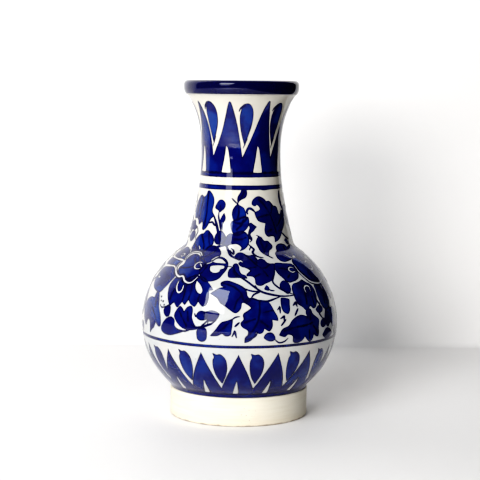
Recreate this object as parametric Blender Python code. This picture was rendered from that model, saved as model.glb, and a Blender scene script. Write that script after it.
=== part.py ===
"""A wheel-made pottery vase, in the separate clay sections that a potter lutes together with slip.

Blender 4.5, metres, +Z up. The origin is the middle of the base, on the surface that the vase stands on.
From the bottom: a foot ring with a floor slab let into it, a lower and an upper bowl that meet at the
widest height, a waisted neck, and a rolled lip. A thin bed of slip fills each joint.
"""

import math
from bisect import bisect_left

import bmesh
import bpy

# Driving dimensions
HEIGHT = 0.254            # the vase stands ten inches tall
BELLY_RADIUS = 0.0746     # widest, on the outside
BELLY_LEVEL = 0.0705      # height of the widest ring
BELLY_RISE = 0.0705       # half-height of the belly's ellipse above that ring
BELLY_DROP = 0.0655       # and below it
WAIST_RADIUS = 0.0298     # narrowest, on the outside
WAIST_LEVEL = 0.201
FOOT_RADIUS = 0.0524
LIP_RADIUS = 0.0435

WALL = 0.006              # clay thickness, square to the surface
SLIP = 0.0006             # thickness of a bed of slip
GAP = 0.0003              # clearance between two touching solids
BED = SLIP + 2 * GAP      # what each joint leaves between two clay sections

# Joint heights: the top of the lower clay section on the outside of the wall
FOOT_JOINT = 0.0214
BELLY_JOINT = 0.0699
NECK_JOINT = 0.1360
LIP_JOINT = 0.2424
LAP = 0.004               # how far a lapped joint's inner half stands up

SEGMENTS = 64             # round the axis
RING_STEP = 0.006         # height between the rings of a curved wall

# The outline below and above the belly's ellipse, as the control points (radius, height) of its curves
HEEL_FOOT = (0.0512, 0.0202)
HEEL_BEND = (0.0524, 0.0238)
HEEL_TOP = 0.0262                                         # the belly's ellipse starts here
SHOULDER_START = 0.1280                                   # and ends here
SHOULDER_BEND = (0.0410, 0.1295)
NECK_FOOT = (0.0396, 0.1350)
NECK_RISE = ((0.0346, 0.1550), (WAIST_RADIUS, 0.1760))
FLARE = ((WAIST_RADIUS, 0.2150), (0.0319, 0.2310))
FLARE_TOP = (0.0410, 0.2433)
CURVE_STEPS = 24

# Foot ring and floor slab
FOOT_INNER_RADIUS = 0.0430
LEDGE_RADIUS = 0.0465     # the slab's seat, above the ledge
LEDGE_LEVEL = 0.0120
FOOT_BEVEL = 0.0012       # at the standing face
FOOT_ARRIS = 0.0006       # at the top edge

# Rolled lip
LIP_WIDTH = 0.0072
LIP_ROUND = 0.0034        # radius of its two top edges
LIP_TUCK_ACROSS = 0.0030  # how far the roll turns in underneath
LIP_TUCK_UP = 0.0062      # and how high up its side the turn starts
TUCK_STEPS = 6
CORNER_STEPS = 4

CREAM = (0.80, 0.76, 0.66)
WHITE_GLAZE = (0.87, 0.86, 0.80)
COBALT = (0.010, 0.022, 0.180)
SLIP_COLOUR = (0.72, 0.64, 0.52)


def belly_radius(height):
    """Radius of the belly's outside, a half ellipse above its widest ring and another below."""
    half = BELLY_RISE if height > BELLY_LEVEL else BELLY_DROP
    return BELLY_RADIUS * math.sqrt(1 - ((height - BELLY_LEVEL) / half) ** 2)


def bezier(points, steps):
    """Points along a Bezier curve of any degree, its start left out."""
    found = []
    for i in range(1, steps + 1):
        t, level = i / steps, list(points)
        while len(level) > 1:
            level = [(a[0] + (b[0] - a[0]) * t, a[1] + (b[1] - a[1]) * t) for a, b in zip(level, level[1:])]
        found.append(level[0])
    return found


def outside_path():
    """(radius, height) up the outside of the wall, from the foot joint to the lip joint and a little past both."""
    rise = SHOULDER_START - HEEL_TOP
    waist = (WAIST_RADIUS, WAIST_LEVEL)
    path = [HEEL_FOOT]
    path += bezier([HEEL_FOOT, HEEL_BEND, (belly_radius(HEEL_TOP), HEEL_TOP)], CURVE_STEPS)
    heights = [HEEL_TOP + rise * i / (3 * CURVE_STEPS) for i in range(1, 3 * CURVE_STEPS + 1)]
    path += [(belly_radius(h), h) for h in heights]
    path += bezier([path[-1], SHOULDER_BEND, NECK_FOOT], CURVE_STEPS)
    path += bezier([NECK_FOOT, *NECK_RISE, waist], CURVE_STEPS)
    path += bezier([waist, *FLARE, FLARE_TOP], CURVE_STEPS)
    return path


def offset_path(path, distance):
    """The same path moved square to itself, towards the axis."""
    moved = []
    for i, (radius, height) in enumerate(path):
        before, after = path[max(i - 1, 0)], path[min(i + 1, len(path) - 1)]
        run, rise = after[0] - before[0], after[1] - before[1]
        length = math.hypot(run, rise)
        moved.append((radius - distance * rise / length, height + distance * run / length))
    return moved


def radius_at(path, height):
    """Radius of a path at a height, between its two nearest points or past its last one."""
    i = min(max(bisect_left([h for _, h in path], height), 1), len(path) - 1)
    (r0, h0), (r1, h1) = path[i - 1], path[i]
    return r0 + (r1 - r0) * (height - h0) / (h1 - h0)


OUTSIDE = outside_path()
INSIDE = offset_path(OUTSIDE, WALL)


def wall_face(path, low, high):
    """Points up one face of the wall, from low to high, about RING_STEP apart."""
    steps = max(1, round((high - low) / RING_STEP))
    heights = [low + (high - low) * i / steps for i in range(steps + 1)]
    return [(radius_at(path, h), h) for h in heights]


def lap_radius(level):
    """Radius of the outer side of a lapped joint's standing inner half."""
    return (radius_at(OUTSIDE, level) + radius_at(INSIDE, level) - BED) / 2


def clay(name, colour, roughness):
    """A plain material for one kind of surface."""
    made = bpy.data.materials.new(name)
    made.use_nodes = True
    shader = made.node_tree.nodes["Principled BSDF"]
    shader.inputs["Base Color"].default_value = (*colour, 1)
    shader.inputs["Roughness"].default_value = roughness
    shader.inputs["Metallic"].default_value = 0
    return made


def turned(name, profile, material, parent):
    """A solid of revolution about Z. The profile is a closed outline of (radius, height) points."""
    mesh = bpy.data.meshes.new(name)
    shape = bmesh.new()
    corners = [shape.verts.new((radius, 0, height)) for radius, height in profile]
    edges = [shape.edges.new((a, b)) for a, b in zip(corners, corners[1:] + corners[:1])]
    bmesh.ops.spin(shape, geom=corners + edges, cent=(0, 0, 0), axis=(0, 0, 1),
                   angle=math.tau, steps=SEGMENTS, use_merge=True)
    bmesh.ops.remove_doubles(shape, verts=shape.verts, dist=1e-6)
    bmesh.ops.dissolve_degenerate(shape, edges=shape.edges, dist=1e-7)
    bmesh.ops.recalc_face_normals(shape, faces=shape.faces)
    shape.to_mesh(mesh)
    shape.free()
    mesh.shade_smooth()
    mesh.set_sharp_from_angle(angle=math.radians(30))
    mesh.materials.append(material)
    made = bpy.data.objects.new(name, mesh)
    bpy.context.scene.collection.objects.link(made)
    made.parent = parent
    return made


def foot_ring_profile():
    """A collar with a bevelled standing face and an inner ledge that carries the floor slab."""
    return [
        (FOOT_INNER_RADIUS + FOOT_BEVEL, 0), (FOOT_RADIUS - FOOT_BEVEL, 0), (FOOT_RADIUS, FOOT_BEVEL),
        (FOOT_RADIUS, FOOT_JOINT - FOOT_ARRIS), (FOOT_RADIUS - FOOT_ARRIS, FOOT_JOINT),
        (LEDGE_RADIUS, FOOT_JOINT), (LEDGE_RADIUS, LEDGE_LEVEL), (FOOT_INNER_RADIUS, LEDGE_LEVEL),
        (FOOT_INNER_RADIUS, FOOT_BEVEL),
    ]


def floor_slip_profile():
    """Slip under the slab's edge and up its side, an L in section."""
    side, bottom = LEDGE_RADIUS - GAP, LEDGE_LEVEL + GAP
    return [
        (FOOT_INNER_RADIUS, bottom), (side, bottom), (side, FOOT_JOINT),
        (side - SLIP, FOOT_JOINT), (side - SLIP, bottom + SLIP), (FOOT_INNER_RADIUS, bottom + SLIP),
    ]


def floor_slab_profile():
    """A flat round slab."""
    radius, bottom = LEDGE_RADIUS - BED, LEDGE_LEVEL + BED
    return [(0, bottom), (radius, bottom), (radius, FOOT_JOINT), (0, FOOT_JOINT)]


def butt_slip_profile(level):
    """A flat washer of slip between two level clay faces."""
    outer, inner = radius_at(OUTSIDE, level + BED), radius_at(INSIDE, level + BED)
    return [(inner, level + GAP), (outer, level + GAP), (outer, level + GAP + SLIP), (inner, level + GAP + SLIP)]


def lap_slip_profile(level):
    """Slip in a lapped joint, a Z in section: outer bed, upright, inner bed."""
    low, high, upright = level + GAP, level + LAP + GAP, lap_radius(level) + GAP
    return [
        (radius_at(OUTSIDE, low), low), (radius_at(OUTSIDE, low + SLIP), low + SLIP),
        (upright + SLIP, low + SLIP), (upright + SLIP, high + SLIP),
        (radius_at(INSIDE, high + SLIP), high + SLIP), (radius_at(INSIDE, high), high),
        (upright, high), (upright, low),
    ]


def lap_top(level):
    """The upper end of a section at a lapped joint, from the outside to the inside of its wall."""
    step = lap_radius(level)
    return [(step, level), (step, level + LAP)]


def lap_bottom(level):
    """The lower end of a section at a lapped joint, from the inside to the outside of its wall."""
    step = lap_radius(level) + BED
    return [(step, level + LAP + BED), (step, level + BED)]


def lower_bowl_profile():
    outside = wall_face(OUTSIDE, FOOT_JOINT + BED, BELLY_JOINT)
    inside = wall_face(INSIDE, FOOT_JOINT + BED, BELLY_JOINT + LAP)
    return outside + lap_top(BELLY_JOINT) + inside[::-1]


def upper_bowl_profile():
    outside = wall_face(OUTSIDE, BELLY_JOINT + BED, NECK_JOINT)
    inside = wall_face(INSIDE, BELLY_JOINT + LAP + BED, NECK_JOINT + LAP)
    return outside + lap_top(NECK_JOINT) + inside[::-1] + lap_bottom(BELLY_JOINT)


def neck_profile():
    outside = wall_face(OUTSIDE, NECK_JOINT + BED, LIP_JOINT)
    inside = wall_face(INSIDE, NECK_JOINT + LAP + BED, LIP_JOINT)
    return outside + inside[::-1] + lap_bottom(NECK_JOINT)


def lip_profile():
    """A rolled coil, tucked in underneath and rounded on top. Its inner face goes on with the neck's flare."""
    low, high = LIP_JOINT + BED, HEIGHT
    corners = [
        (LIP_RADIUS - LIP_ROUND, high - LIP_ROUND, 0), (LIP_RADIUS - LIP_WIDTH + LIP_ROUND, high - LIP_ROUND, 90),
    ]
    points = [(radius_at(INSIDE, low), low)]
    for i in range(TUCK_STEPS + 1):
        angle = math.radians(90 * i / TUCK_STEPS)
        points.append((
            LIP_RADIUS - LIP_TUCK_ACROSS * (1 - math.sin(angle)), low + LIP_TUCK_UP * (1 - math.cos(angle))))
    for radius, height, start in corners:
        for i in range(CORNER_STEPS + 1):
            angle = math.radians(start + 90 * i / CORNER_STEPS)
            points.append((radius + LIP_ROUND * math.cos(angle), height + LIP_ROUND * math.sin(angle)))
    return points


def build():
    for old in list(bpy.data.objects):
        bpy.data.objects.remove(old)
    vase = bpy.data.objects.new("vase", None)
    bpy.context.scene.collection.objects.link(vase)

    biscuit = clay("biscuit", CREAM, 0.75)
    white_glaze = clay("white_glaze", WHITE_GLAZE, 0.12)
    cobalt_glaze = clay("cobalt_glaze", COBALT, 0.12)
    slip = clay("slip", SLIP_COLOUR, 0.85)

    turned("foot_ring", foot_ring_profile(), biscuit, vase)
    turned("floor_slab", floor_slab_profile(), white_glaze, vase)
    turned("lower_bowl", lower_bowl_profile(), white_glaze, vase)
    turned("upper_bowl", upper_bowl_profile(), white_glaze, vase)
    turned("neck", neck_profile(), white_glaze, vase)
    turned("lip_coil", lip_profile(), cobalt_glaze, vase)

    turned("floor_slip", floor_slip_profile(), slip, vase)
    turned("foot_slip", butt_slip_profile(FOOT_JOINT), slip, vase)
    turned("belly_slip", lap_slip_profile(BELLY_JOINT), slip, vase)
    turned("neck_slip", lap_slip_profile(NECK_JOINT), slip, vase)
    turned("lip_slip", butt_slip_profile(LIP_JOINT), slip, vase)


build()
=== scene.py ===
import math
import random

import bpy
import numpy as np
from mathutils.geometry import delaunay_2d_cdt
from mathutils.kdtree import KDTree
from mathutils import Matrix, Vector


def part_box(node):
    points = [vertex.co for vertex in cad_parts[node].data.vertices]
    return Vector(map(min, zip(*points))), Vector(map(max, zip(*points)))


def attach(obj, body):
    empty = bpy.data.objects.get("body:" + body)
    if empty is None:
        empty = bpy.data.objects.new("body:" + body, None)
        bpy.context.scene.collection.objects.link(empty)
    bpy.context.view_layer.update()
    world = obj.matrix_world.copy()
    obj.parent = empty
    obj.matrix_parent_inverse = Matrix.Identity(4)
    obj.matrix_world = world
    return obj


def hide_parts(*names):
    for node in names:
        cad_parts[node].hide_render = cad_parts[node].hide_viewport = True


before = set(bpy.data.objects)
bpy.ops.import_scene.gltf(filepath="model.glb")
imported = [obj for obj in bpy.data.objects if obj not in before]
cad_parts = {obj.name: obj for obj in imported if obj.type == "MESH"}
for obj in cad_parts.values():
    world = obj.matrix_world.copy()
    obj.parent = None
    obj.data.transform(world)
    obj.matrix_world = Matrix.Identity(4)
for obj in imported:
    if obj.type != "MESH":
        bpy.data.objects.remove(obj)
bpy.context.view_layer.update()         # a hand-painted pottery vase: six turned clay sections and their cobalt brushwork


# ---------------------------------------------------------------------------------------------- camera
# A long lens a little over a metre away, level with the lip and tipped down onto the belly. It leans
# half a degree, and looks a hair to one side.
camera_distance = 1.120
camera_height = 0.2542
camera_tilt = 6.178
camera_roll = 0.57
camera_pan = 0.064

bpy.ops.object.select_all(action="DESELECT")
bpy.ops.object.camera_add(
    location=(0, -camera_distance, camera_height),
    rotation=[math.radians(a) for a in (90 - camera_tilt, -camera_roll, camera_pan)])
camera = bpy.context.object
camera.data.lens = 110.85
camera.data.sensor_width = 36
bpy.context.scene.camera = camera
view = bpy.context.scene.view_settings
view.view_transform = "Standard"
view.use_curve_mapping = True        # the darkest tones are pulled down a little
tones = view.curve_mapping.curves[3]
for tone in ((0.05, 0.018), (0.15, 0.124), (0.30, 0.300)):
    tones.points.new(*tone)
view.curve_mapping.update()


# -------------------------------------------------------------------------------------- table and wall
# One sheet of matt white board, flat under the vase and bent up into a wall close behind it. Its reverse
# is left clear, so the vase can be looked at from behind and from underneath.
def add_node(tree, kind, inputs=None, **settings):
    """A new shader node. Inputs maps a socket's name or number to a value, or to the socket that feeds it."""
    node = tree.nodes.new(kind)
    for key, value in settings.items():
        setattr(node, key, value)
    for key, value in (inputs or {}).items():
        if isinstance(value, bpy.types.NodeSocket):
            tree.links.new(value, node.inputs[key])
        else:
            node.inputs[key].default_value = value
    return node


def new_material(name):
    """An empty Principled material with its tree, its shader, and the Object coordinates it reads."""
    made = bpy.data.materials.new(name)
    made.use_nodes = True
    tree = made.node_tree
    shader = tree.nodes["Principled BSDF"]
    place = add_node(tree, "ShaderNodeTexCoord").outputs["Object"]
    return made, tree, shader, place


def noise(tree, place, scale, detail=3.0, roughness=0.5):
    """A noise texture's value, its scale counted per metre."""
    made = add_node(tree, "ShaderNodeTexNoise",
                    {"Vector": place, "Scale": scale, "Detail": detail, "Roughness": roughness})
    return made.outputs["Fac"]


def calculate(tree, operation, first, second=0.0):
    """One step of arithmetic on two values."""
    return add_node(tree, "ShaderNodeMath", {0: first, 1: second}, operation=operation).outputs[0]


def spread(tree, value, low, high, to_low=0.0, to_high=1.0):
    """The value's stretch from low to high, eased onto to_low and to_high."""
    made = add_node(tree, "ShaderNodeMapRange", {"Value": value, "From Min": low, "From Max": high,
                                                 "To Min": to_low, "To Max": to_high},
                    interpolation_type="SMOOTHSTEP")
    return made.outputs["Result"]


def mix_colours(tree, amount, first, second):
    """Two colours, or a colour and a socket, mixed by an amount."""
    made = add_node(tree, "ShaderNodeMix", data_type="RGBA")
    for socket, value in ((made.inputs[0], amount), (made.inputs[6], first), (made.inputs[7], second)):
        if isinstance(value, bpy.types.NodeSocket):
            tree.links.new(value, socket)
        elif socket == made.inputs[0]:
            socket.default_value = value
        else:
            socket.default_value = (*value, 1)
    return made.outputs[2]


board_left = -1.6
board_right = 0.32
board_front = -2.2
wall_place = 0.287        # behind the vase's axis
wall_height = 1.8
board_bend = 0.006
board_grey = (0.845, 0.835, 0.830)
board_white = (0.890, 0.882, 0.876)
bpy.ops.mesh.primitive_plane_add(size=1, location=(0, 0, 0))
board = bpy.context.object
board.name = "table_board"
for corner in board.data.vertices:
    corner.co.x = board_right if corner.co.x > 0 else board_left
    corner.co.y = wall_place if corner.co.y > 0 else board_front
bpy.ops.object.mode_set(mode="EDIT")
bpy.ops.mesh.select_all(action="DESELECT")
bpy.ops.object.mode_set(mode="OBJECT")
for edge in board.data.edges:
    edge.select = all(board.data.vertices[i].co.y > 0 for i in edge.vertices)
bpy.ops.object.mode_set(mode="EDIT")
bpy.ops.mesh.select_mode(type="EDGE")
bpy.ops.mesh.extrude_region_move(TRANSFORM_OT_translate={"value": (0, 0, wall_height)})
bpy.ops.mesh.select_mode(type="VERT")
bpy.ops.object.mode_set(mode="OBJECT")
bend = board.modifiers.new("bend", "BEVEL")
bend.width = board_bend
bend.segments = 8
bpy.ops.object.modifier_apply(modifier="bend")
bpy.ops.object.shade_smooth()

board_material, tree, shader, place = new_material("matt_white_board")
smudge = noise(tree, place, 3.0)
tree.links.new(mix_colours(tree, smudge, board_grey, board_white), shader.inputs["Base Color"])
tree.links.new(spread(tree, smudge, 0.3, 0.7, 0.45, 0.6), shader.inputs["Roughness"])
reverse = add_node(tree, "ShaderNodeNewGeometry").outputs["Backfacing"]
tree.links.new(calculate(tree, "SUBTRACT", 1.0, reverse), shader.inputs["Alpha"])
board.data.materials.append(board_material)


# ----------------------------------------------------------------------------------------------- light
# A tall window in front and to the left, which the gloss mirrors, its lower pane dimmer; daylight coming
# in low beside it, which throws the long soft shadow; a little skylight; and a room that darkens rightwards.
light_target = (0, 0, 0.12)


def window_light(name, azimuth, elevation, distance, width, height, power, colour=(1, 1, 1), mirrored=True):
    """A rectangular light aimed at the vase. Azimuth 0 is in front, and it grows to the right."""
    a, e = math.radians(azimuth), math.radians(elevation)
    away = (math.sin(a) * math.cos(e), -math.cos(a) * math.cos(e), math.sin(e))
    bpy.ops.object.light_add(type="AREA", location=[t + distance * d for t, d in zip(light_target, away)],
                             rotation=(math.radians(90) - e, 0, a))
    light = bpy.context.object
    light.name = name
    light.data.shape = "RECTANGLE"
    light.data.size = width
    light.data.size_y = height
    light.data.energy = power
    light.data.color = colour
    light.visible_glossy = mirrored


window_light("window_upper_pane", azimuth=-32, elevation=33.5, distance=2.0, width=0.86, height=1.05,
             power=23, colour=(0.94, 0.97, 1.0))
window_light("window_lower_pane", azimuth=-32, elevation=9.5, distance=2.0, width=0.60, height=0.42, power=3)
window_light("low_daylight", azimuth=-21, elevation=12.5, distance=1.8, width=0.65, height=0.50,
             power=27, colour=(1.0, 0.98, 0.95), mirrored=False)
window_light("skylight", azimuth=-46, elevation=56, distance=1.9, width=1.2, height=1.2,
             power=4, mirrored=False)

room = bpy.data.worlds.new("pale_room")
bpy.context.scene.world = room
room.use_nodes = True
backdrop = room.node_tree.nodes["Background"]
backdrop.inputs["Color"].default_value = (1.0, 0.97, 0.94, 1)
facing = add_node(room.node_tree, "ShaderNodeTexCoord").outputs["Generated"]
sideways = add_node(room.node_tree, "ShaderNodeSeparateXYZ", {0: facing}).outputs["X"]
room.node_tree.links.new(spread(room.node_tree, sideways, -0.7, 0.6, 0.14, 0.03), backdrop.inputs["Strength"])


# ------------------------------------------------------------------------------------------------ foot
# The foot is a turned collar of cream clay, left bare of glaze and wiped smooth. It carries the floor on
# an inner ledge, and its standing edge is rubbed and a little browned.
SEGMENTS = 192            # facets round the axis
SHARP_ANGLE = 35          # a corner over this stays crisp
MERGE = 0.000001


def thrown(name, outline):
    """A clay solid turned on the wheel, from a closed outline of (radius, height) points."""
    bpy.ops.object.select_all(action="DESELECT")
    radius, height = outline[0]
    bpy.ops.mesh.primitive_plane_add(size=0.001, location=(radius, 0, height))
    piece = bpy.context.object
    piece.name = piece.data.name = name
    bpy.ops.object.mode_set(mode="EDIT")
    bpy.ops.mesh.select_all(action="SELECT")
    bpy.ops.mesh.merge(type="CENTER")
    for next_radius, next_height in outline[1:] + outline[:1]:
        step = (next_radius - radius, 0, next_height - height)
        bpy.ops.mesh.extrude_vertices_move(TRANSFORM_OT_translate={"value": step})
        radius, height = next_radius, next_height
    bpy.ops.mesh.select_all(action="SELECT")
    bpy.ops.mesh.spin(steps=SEGMENTS, angle=math.tau, center=(0, 0, 0), axis=(0, 0, 1))
    bpy.ops.mesh.select_all(action="SELECT")
    bpy.ops.mesh.remove_doubles(threshold=MERGE)
    bpy.ops.mesh.dissolve_degenerate(threshold=MERGE / 10)
    bpy.ops.mesh.normals_make_consistent(inside=False)
    bpy.ops.object.mode_set(mode="OBJECT")
    bpy.ops.object.transform_apply(location=True, rotation=True, scale=True)
    bpy.ops.object.shade_smooth_by_angle(angle=math.radians(SHARP_ANGLE))
    return piece


def rounded(centre, size, start, turn, steps):
    """(radius, height) points on an arc about a centre, angles in degrees from straight outwards."""
    angles = [math.radians(start + turn * i / steps) for i in range(steps + 1)]
    return [(centre[0] + size * math.cos(a), centre[1] + size * math.sin(a)) for a in angles]


def face_steps(start, end, count):
    """Points along a straight face, both ends left out."""
    return [tuple(s + (e - s) * i / count for s, e in zip(start, end)) for i in range(1, count)]


foot_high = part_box("foot_ring")[1]
foot_radius = foot_high.x
foot_joint = foot_high.z
floor_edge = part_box("floor_slab")[1].x
floor_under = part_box("floor_slab")[0].z
foot_inner_radius = 0.0430
foot_ledge = 0.0120
foot_wear = 0.0012        # rounding of the standing edge
foot_arris = 0.0006       # and of the top edge
slab_gap = 0.0002         # round the floor slab
foot_recess = floor_edge + slab_gap
clay_dark = (0.690, 0.632, 0.508)
clay_light = (0.745, 0.702, 0.586)
clay_bloom = (0.775, 0.744, 0.652)
clay_low_tone = (0.640, 0.545, 0.400)
grit_brown = (0.36, 0.28, 0.20)
edge_brown = (0.22, 0.145, 0.085)

standing_round = rounded((foot_radius - foot_wear, foot_wear), foot_wear, -90, 90, 6)
top_round = rounded((foot_radius - foot_arris, foot_joint - foot_arris), foot_arris, 0, 90, 5)
inner_round = rounded((foot_inner_radius + foot_wear, foot_wear), foot_wear, 180, 90, 6)
foot_outline = (
    standing_round + face_steps(standing_round[-1], top_round[0], 16) + top_round
    + [(foot_recess, foot_joint), (foot_recess, foot_ledge), (foot_inner_radius, foot_ledge)]
    + face_steps((foot_inner_radius, foot_ledge), inner_round[0], 6) + inner_round)
foot = thrown("foot", foot_outline)

biscuit, tree, shader, place = new_material("bare_cream_clay")
wiping = add_node(tree, "ShaderNodeMapping", {"Vector": place, "Scale": (1, 1, 14)}).outputs["Vector"]
wiped = noise(tree, wiping, 34, 4)
cloud = noise(tree, place, 26, 3)
grain = noise(tree, place, 1500, 2)
height = add_node(tree, "ShaderNodeSeparateXYZ", {0: place}).outputs["Z"]
grit = add_node(tree, "ShaderNodeTexVoronoi", {"Vector": place, "Scale": 260.0, "Randomness": 1.0})
grit_here = calculate(tree, "MULTIPLY", spread(tree, grit.outputs["Distance"], 0.07, 0.15, 1, 0),
                      spread(tree, noise(tree, place, 70, 1), 0.56, 0.66))
chipping = spread(tree, noise(tree, place, 160, 3), 0.2, 0.8, -0.0006, 0.0008)
chipped_height = calculate(tree, "ADD", height, chipping)
browned = spread(tree, chipped_height, 0.0002, 0.0013, 1, 0)
# The bare clay is mixed towards a browner tone over the lowest few millimetres, darker towards the bottom.
darker_low = spread(tree, chipped_height, 0.0010, 0.0075, 0.35, 0)
colour = mix_colours(tree, spread(tree, wiped, 0.3, 0.7), clay_dark, clay_light)
colour = mix_colours(tree, spread(tree, cloud, 0.42, 0.72, 0, 0.55), colour, clay_bloom)
colour = mix_colours(tree, darker_low, colour, clay_low_tone)
colour = mix_colours(tree, calculate(tree, "MULTIPLY", grit_here, 0.5), colour, grit_brown)
colour = mix_colours(tree, calculate(tree, "MULTIPLY", browned, 0.75), colour, edge_brown)
tree.links.new(colour, shader.inputs["Base Color"])
tree.links.new(spread(tree, cloud, 0.3, 0.7, 0.50, 0.66), shader.inputs["Roughness"])
ridges = calculate(tree, "MULTIPLY", wiped, 0.7)
texture = calculate(tree, "ADD", ridges, calculate(tree, "MULTIPLY", grain, 0.16))
texture = calculate(tree, "SUBTRACT", texture, calculate(tree, "MULTIPLY", grit_here, 0.5))
relief = add_node(tree, "ShaderNodeBump", {"Height": texture, "Distance": 0.00022, "Strength": 0.8})
tree.links.new(relief.outputs["Normal"], shader.inputs["Normal"])
foot.data.materials.append(biscuit)
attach(foot, "root")
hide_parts("foot_ring", "floor_slip")


# ----------------------------------------------------------------------------------------------- floor
# The floor is a round slab of the same clay, let into the foot ring and glazed white on its upper face,
# which shows at the bottom of the mouth.
def new_group(name, inputs, outputs):
    """A shader node group. Inputs maps a name to its kind and default, outputs a name to its kind."""
    group = bpy.data.node_groups.new(name, "ShaderNodeTree")
    kinds = {"value": "NodeSocketFloat", "colour": "NodeSocketColor", "vector": "NodeSocketVector"}
    for socket, (kind, start) in inputs.items():
        made = group.interface.new_socket(socket, in_out="INPUT", socket_type=kinds[kind])
        if start is not None:
            made.default_value = start
    for socket, kind in outputs.items():
        group.interface.new_socket(socket, in_out="OUTPUT", socket_type=kinds[kind])
    return group, add_node(group, "NodeGroupInput"), add_node(group, "NodeGroupOutput")


glaze_skin, inside, outside = new_group(
    "clear_glaze_skin",
    {"Place": ("vector", None), "Colour": ("colour", (0.8, 0.8, 0.8, 1)), "Pinholes": ("value", 0.5),
     "Ripple": ("value", 1.0), "Polish": ("value", 0.08)},
    {"Colour": "colour", "Roughness": "value", "Height": "value"})
place = inside.outputs["Place"]
ripple = noise(glaze_skin, place, 34, 2)
rings_place = add_node(glaze_skin, "ShaderNodeMapping", {"Vector": place, "Scale": (0.15, 0.15, 1)})
rings = noise(glaze_skin, rings_place.outputs["Vector"], 150, 1)
orange_peel = noise(glaze_skin, place, 420, 2)
dots = add_node(glaze_skin, "ShaderNodeTexVoronoi", {"Vector": place, "Scale": 210.0, "Randomness": 1.0})
pinholes = calculate(glaze_skin, "MULTIPLY", spread(glaze_skin, dots.outputs["Distance"], 0.05, 0.12, 1, 0),
                     spread(glaze_skin, noise(glaze_skin, place, 55, 1), 0.58, 0.64))
pinholes = calculate(glaze_skin, "MULTIPLY", pinholes, inside.outputs["Pinholes"])
glaze_skin.links.new(mix_colours(glaze_skin, pinholes, inside.outputs["Colour"], (0.10, 0.07, 0.05)),
                     outside.inputs["Colour"])
dulled = calculate(glaze_skin, "MULTIPLY", noise(glaze_skin, place, 90, 4), 0.035)
dulled = calculate(glaze_skin, "ADD", dulled, inside.outputs["Polish"])
glaze_skin.links.new(dulled, outside.inputs["Roughness"])
waves = calculate(glaze_skin, "ADD", ripple, rings)
waves = calculate(glaze_skin, "MULTIPLY", waves, inside.outputs["Ripple"])
skin = calculate(glaze_skin, "ADD", waves, calculate(glaze_skin, "MULTIPLY", orange_peel, 0.045))
skin = calculate(glaze_skin, "SUBTRACT", skin, calculate(glaze_skin, "MULTIPLY", pinholes, 0.3))
glaze_skin.links.new(skin, outside.inputs["Height"])


def glaze_over(tree, shader, place, colour, pinholes, polish):
    """Lays the clear glaze over a colour: its gloss, its pinholes and its faint waves feed the shader."""
    skin = add_node(tree, "ShaderNodeGroup", {"Place": place, "Colour": colour, "Pinholes": pinholes,
                                              "Polish": polish}, node_tree=glaze_skin)
    relief = add_node(tree, "ShaderNodeBump", {"Height": skin.outputs["Height"], "Distance": 0.00022,
                                               "Strength": 1.0})
    tree.links.new(skin.outputs["Colour"], shader.inputs["Base Color"])
    tree.links.new(skin.outputs["Roughness"], shader.inputs["Roughness"])
    tree.links.new(relief.outputs["Normal"], shader.inputs["Normal"])


# Glaze tones: a greyer, cooler one for painted shade low on the belly, a lighter, warmer one for the lit
# neck, then random clouds, blush and specks.
glaze_shaded_low = (0.480, 0.492, 0.500)
glaze_lit_high = (0.590, 0.565, 0.495)
glaze_cloud = (0.560, 0.545, 0.500)
glaze_blush = (0.585, 0.535, 0.485)
glaze_speck = (0.50, 0.485, 0.45)
white_glaze, tree, shader, place = new_material("white_glaze")
cloud = noise(tree, place, 16, 3)
blush = noise(tree, place, 33, 2)
mottle = noise(tree, place, 240, 4, 0.6)
height = add_node(tree, "ShaderNodeSeparateXYZ", {0: place}).outputs["Z"]
# Painted shade: the white is darker and cooler on the belly and lighter and warmer up the neck, by height.
colour = mix_colours(tree, spread(tree, height, 0.10, 0.19), glaze_shaded_low, glaze_lit_high)
colour = mix_colours(tree, spread(tree, cloud, 0.40, 0.70, 0, 0.6), colour, glaze_cloud)
colour = mix_colours(tree, spread(tree, blush, 0.54, 0.75, 0, 0.35), colour, glaze_blush)
colour = mix_colours(tree, spread(tree, mottle, 0.40, 0.75, 0, 0.16), colour, glaze_speck)
glaze_over(tree, shader, place, colour, pinholes=0.5, polish=0.035)
shader.inputs["IOR"].default_value = 1.45

slab_edge_round = 0.0008
slab_corner = (floor_edge - slab_edge_round, foot_joint - slab_edge_round)
floor_outline = [(0, floor_under)] + face_steps((0, floor_under), (floor_edge, floor_under), 12)
floor_outline += [(floor_edge, floor_under)] + rounded(slab_corner, slab_edge_round, 0, 90, 4)
floor_outline += face_steps(floor_outline[-1], (0, foot_joint), 12) + [(0, foot_joint)]
floor = thrown("floor", floor_outline)
floor.data.materials.append(white_glaze)
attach(floor, "root")
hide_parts("floor_slab")


# ------------------------------------------------------------------------------------------ lower bowl
# The lower half of the belly is thrown as an open bowl, luted to the foot ring with slip and glazed white
# inside and out. Its outline starts with a short heel on the foot, then follows an ellipse.
belly_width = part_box("lower_bowl")[1].x
belly_level = 0.0705      # the widest ring, where the two bowls meet
belly_rise = 0.0705       # half-height of the ellipse above it
belly_drop = 0.0655       # and below it
heel = ((0.0512, 0.0202), (0.0524, 0.0238))
heel_top = 0.0262
shoulder_start = 0.1280
shoulder_bend = (0.0410, 0.1295)
neck_foot = (0.0396, 0.1350)
waist_level = 0.2010
waist_radius = 0.0298
neck_rise = ((0.0346, 0.1550), (waist_radius, 0.1760))
flare = ((waist_radius, 0.2150), (0.0319, 0.2310))
flare_top = (0.0410, 0.2433)
wall_thickness = 0.006
ring_gap = 0.001          # between two rings of the wall


def bezier(points, steps):
    """Points along a Bezier curve of any degree, its start left out."""
    found = []
    for i in range(1, steps + 1):
        level = np.array(points, float)
        while len(level) > 1:
            level = level[:-1] + (level[1:] - level[:-1]) * i / steps
        found.append(tuple(level[0]))
    return found


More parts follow.
